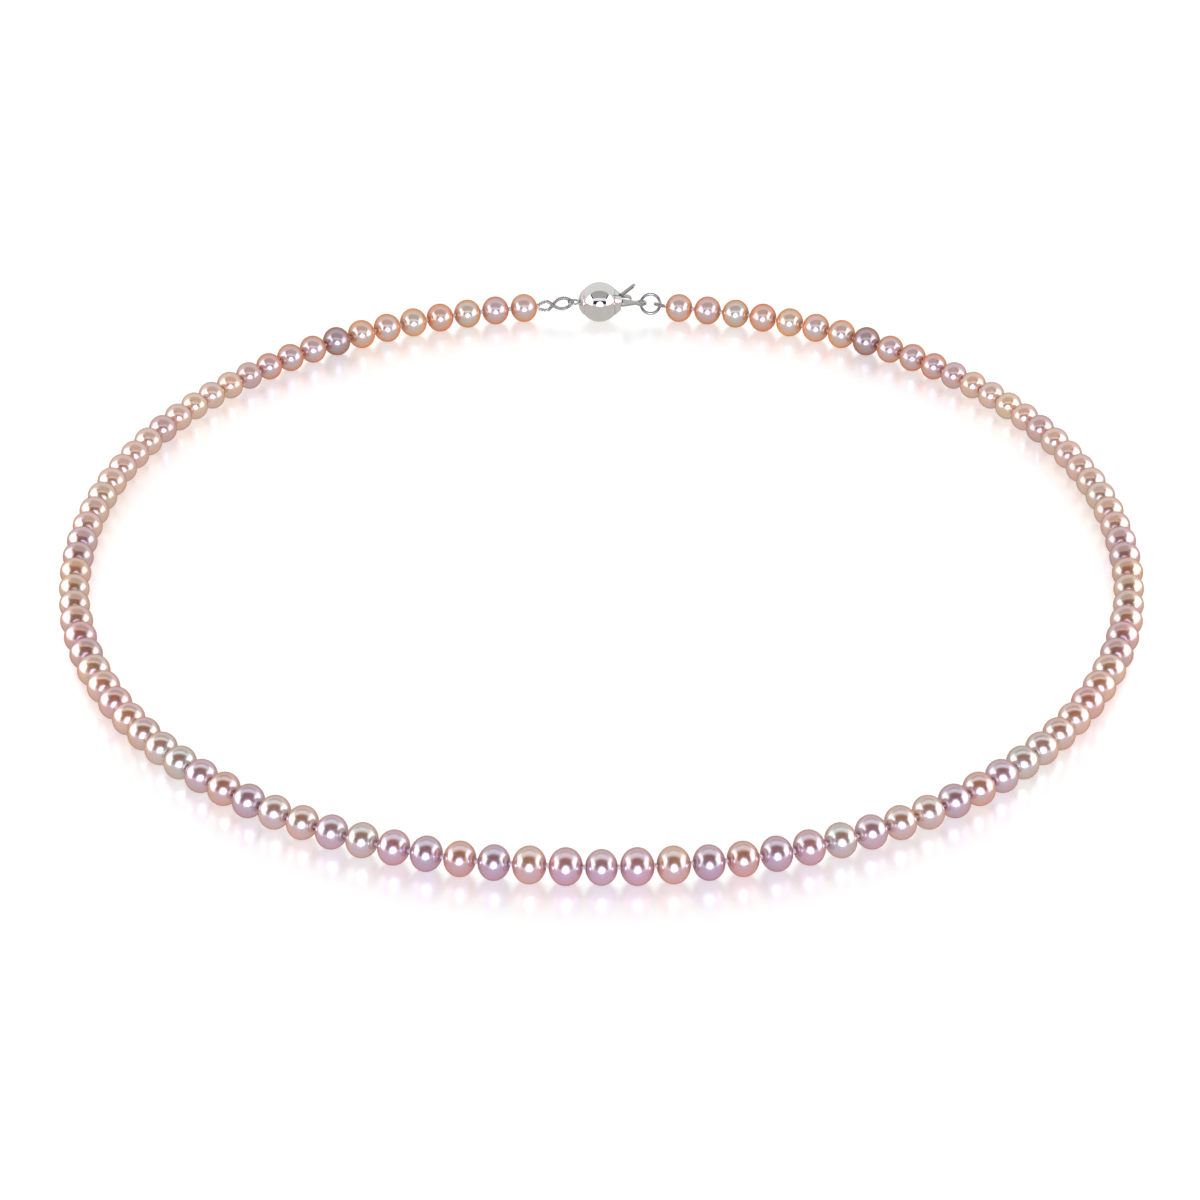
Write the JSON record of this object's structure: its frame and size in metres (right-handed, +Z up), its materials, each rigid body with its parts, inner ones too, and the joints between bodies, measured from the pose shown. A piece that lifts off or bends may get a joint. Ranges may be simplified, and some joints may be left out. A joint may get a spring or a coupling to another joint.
{
  "type": "pearl necklace",
  "caption": "Single-strand necklace of small pink and peach pearls, knotted on silk and closed at the back by a polished silver ball clasp with a spring tongue.",
  "frame": {"origin": "Middle of the bounding box, at the height of the surface the closed necklace lies on.", "axes": "+Z up from the surface, +Y from the front pearl to the clasp, +X to the right as seen from the front pearl."},
  "size_m": [0.1448, 0.1536, 0.006],
  "materials": {
    "nacre": "gloss",
    "silk": "matte",
    "wire": "gloss",
    "silver": "polished"
  },
  "bodies": {
    "front_section": {"pearls_front": "nacre", "thread_front": "silk"},
    "left_section_1": {"pearls_left_1": "nacre", "thread_left_1": "silk"},
    "left_section_2": {"pearls_left_2": "nacre", "thread_left_2": "silk"},
    "left_section_3": {"pearls_left_3": "nacre", "thread_left_3": "silk"},
    "left_section_4": {"pearls_left_4": "nacre", "thread_left_4": "silk"},
    "left_section_5": {"pearls_left_5": "nacre", "thread_left_5": "silk"},
    "left_section_6": {"pearls_left_6": "nacre", "thread_left_6": "silk"},
    "left_section_7": {"pearls_left_7": "nacre", "thread_left_7": "silk"},
    "left_section_8": {"pearls_left_8": "nacre", "thread_left_8": "silk"},
    "left_section_9": {"pearls_left_9": "nacre", "thread_left_9": "silk", "silk_loop_left": "wire"},
    "right_section_1": {"pearls_right_1": "nacre", "thread_right_1": "silk"},
    "right_section_2": {"pearls_right_2": "nacre", "thread_right_2": "silk"},
    "right_section_3": {"pearls_right_3": "nacre", "thread_right_3": "silk"},
    "right_section_4": {"pearls_right_4": "nacre", "thread_right_4": "silk"},
    "right_section_5": {"pearls_right_5": "nacre", "thread_right_5": "silk"},
    "right_section_6": {"pearls_right_6": "nacre", "thread_right_6": "silk"},
    "right_section_7": {"pearls_right_7": "nacre", "thread_right_7": "silk"},
    "right_section_8": {"pearls_right_8": "nacre", "thread_right_8": "silk"},
    "right_section_9": {"pearls_right_9": "nacre", "thread_right_9": "silk", "silk_loop_right": "wire"},
    "clasp_ball": {"ball_shell": "silver", "slotted_collar": "silver", "back_cap": "silver", "back_ring": "silver"},
    "clasp_tongue": {"tongue": "silver", "tongue_stop": "silver"},
    "clasp_spring": {"spring_leaf": "silver", "thumb_tab": "silver"},
    "clasp_ring": {"jump_ring": "silver"}
  },
  "joints": [
    {"name": "open_clasp", "type": "hinge", "parent": "front_section", "child": "left_section_1", "pos_m": [-0.01063, -0.07393, 0.00227], "axis": [0, 0, 1], "range_deg": [0, 12]},
    {"name": "open_knot_left_2", "type": "hinge", "parent": "left_section_1", "child": "left_section_2", "pos_m": [-0.03403, -0.06616, 0.00216], "axis": [0, 0, 1], "range_deg": [0, 12]},
    {"name": "widen_loop", "type": "hinge", "parent": "left_section_2", "child": "left_section_3", "pos_m": [-0.05309, -0.05044, 0.00216], "axis": [0, 0, 1], "range_deg": [-20, 20]},
    {"name": "flex_knot_left_4", "type": "hinge", "parent": "left_section_3", "child": "left_section_4", "pos_m": [-0.06892, -0.01625, 0.00212], "axis": [0, 0, 1], "range_deg": [-20, 20]},
    {"name": "flex_knot_left_5", "type": "hinge", "parent": "left_section_4", "child": "left_section_5", "pos_m": [-0.0693, 0.01304, 0.00208], "axis": [0, 0, 1], "range_deg": [-20.18, 20.18]},
    {"name": "flex_knot_left_6", "type": "hinge", "parent": "left_section_5", "child": "left_section_6", "pos_m": [-0.0554, 0.04693, 0.002], "axis": [0, 0, 1], "range_deg": [-20.18, 20.18]},
    {"name": "lift_back", "type": "hinge", "parent": "left_section_6", "child": "left_section_7", "pos_m": [-0.04752, 0.05584, 0.00203], "axis": [1, 0, 0], "range_deg": [0, 25]},
    {"name": "lift_knot_left_8", "type": "hinge", "parent": "left_section_7", "child": "left_section_8", "pos_m": [-0.03771, 0.06358, 0.00216], "axis": [1, 0, 0], "range_deg": [0, 25]},
    {"name": "lift_knot_left_9", "type": "hinge", "parent": "left_section_8", "child": "left_section_9", "pos_m": [-0.02635, 0.06946, 0.00216], "axis": [1, 0, 0], "range_deg": [0, 25]},
    {"name": "open_knot_right_1", "type": "hinge", "parent": "front_section", "child": "right_section_1", "pos_m": [0.01063, -0.07393, 0.00227], "axis": [0, 0, 1], "range_deg": [-12, 0]},
    {"name": "open_knot_right_2", "type": "hinge", "parent": "right_section_1", "child": "right_section_2", "pos_m": [0.03403, -0.06616, 0.00216], "axis": [0, 0, 1], "range_deg": [-12, 0]},
    {"name": "flex_knot_right_3", "type": "hinge", "parent": "right_section_2", "child": "right_section_3", "pos_m": [0.05309, -0.05044, 0.00216], "axis": [0, 0, 1], "range_deg": [-20, 20]},
    {"name": "flex_knot_right_4", "type": "hinge", "parent": "right_section_3", "child": "right_section_4", "pos_m": [0.06892, -0.01625, 0.00212], "axis": [0, 0, 1], "range_deg": [-20, 20]},
    {"name": "flex_knot_right_5", "type": "hinge", "parent": "right_section_4", "child": "right_section_5", "pos_m": [0.0693, 0.01304, 0.00208], "axis": [0, 0, 1], "range_deg": [-20.18, 20.18]},
    {"name": "flex_knot_right_6", "type": "hinge", "parent": "right_section_5", "child": "right_section_6", "pos_m": [0.0554, 0.04693, 0.002], "axis": [0, 0, 1], "range_deg": [-20.18, 20.18]},
    {"name": "lift_knot_right_7", "type": "hinge", "parent": "right_section_6", "child": "right_section_7", "pos_m": [0.04752, 0.05584, 0.00203], "axis": [1, 0, 0], "range_deg": [0, 25]},
    {"name": "lift_knot_right_8", "type": "hinge", "parent": "right_section_7", "child": "right_section_8", "pos_m": [0.03771, 0.06358, 0.00216], "axis": [1, 0, 0], "range_deg": [0, 25]},
    {"name": "lift_knot_right_9", "type": "hinge", "parent": "right_section_8", "child": "right_section_9", "pos_m": [0.02635, 0.06946, 0.00216], "axis": [1, 0, 0], "range_deg": [0, 25]},
    {"name": "ball_swivel", "type": "hinge", "parent": "left_section_9", "child": "clasp_ball", "pos_m": [-0.00423, 0.07379, 0.003], "axis": [0, 0, 1], "range_deg": [-24, 0]},
    {"name": "tongue_swivel", "type": "hinge", "parent": "right_section_9", "child": "clasp_tongue", "pos_m": [0.00602, 0.07379, 0.00285], "axis": [0, 0, 1], "range_deg": [0, 24]},
    {"name": "press_thumb_tab", "type": "hinge", "parent": "clasp_tongue", "child": "clasp_spring", "pos_m": [-0.00188, 0.07379, 0.00316], "axis": [0, 1, 0], "range_deg": [0, 3], "stiffness_Nm_per_rad": 0.02},
    {"name": "tip_jump_ring", "type": "hinge", "parent": "right_section_9", "child": "clasp_ring", "pos_m": [0.00602, 0.07379, 0.00285], "axis": [1, 0, 0], "range_deg": [-5, 20]}
  ],
  "couplings": [
    {"joint": "open_knot_left_2", "follows": "open_clasp", "ratio": 1},
    {"joint": "flex_knot_left_4", "follows": "widen_loop", "ratio": -1},
    {"joint": "flex_knot_left_5", "follows": "widen_loop", "ratio": -1.0089},
    {"joint": "flex_knot_left_6", "follows": "widen_loop", "ratio": 1.0089},
    {"joint": "lift_knot_left_8", "follows": "lift_back", "ratio": 1},
    {"joint": "lift_knot_left_9", "follows": "lift_back", "ratio": 1},
    {"joint": "open_knot_right_1", "follows": "open_clasp", "ratio": -1},
    {"joint": "open_knot_right_2", "follows": "open_clasp", "ratio": -1},
    {"joint": "flex_knot_right_3", "follows": "widen_loop", "ratio": -1},
    {"joint": "flex_knot_right_4", "follows": "widen_loop", "ratio": 1},
    {"joint": "flex_knot_right_5", "follows": "widen_loop", "ratio": 1.0089},
    {"joint": "flex_knot_right_6", "follows": "widen_loop", "ratio": -1.0089},
    {"joint": "lift_knot_right_7", "follows": "lift_back", "ratio": 1},
    {"joint": "lift_knot_right_8", "follows": "lift_back", "ratio": 1},
    {"joint": "lift_knot_right_9", "follows": "lift_back", "ratio": 1},
    {"joint": "ball_swivel", "follows": "open_clasp", "ratio": -2},
    {"joint": "tongue_swivel", "follows": "open_clasp", "ratio": 2}
  ]
}
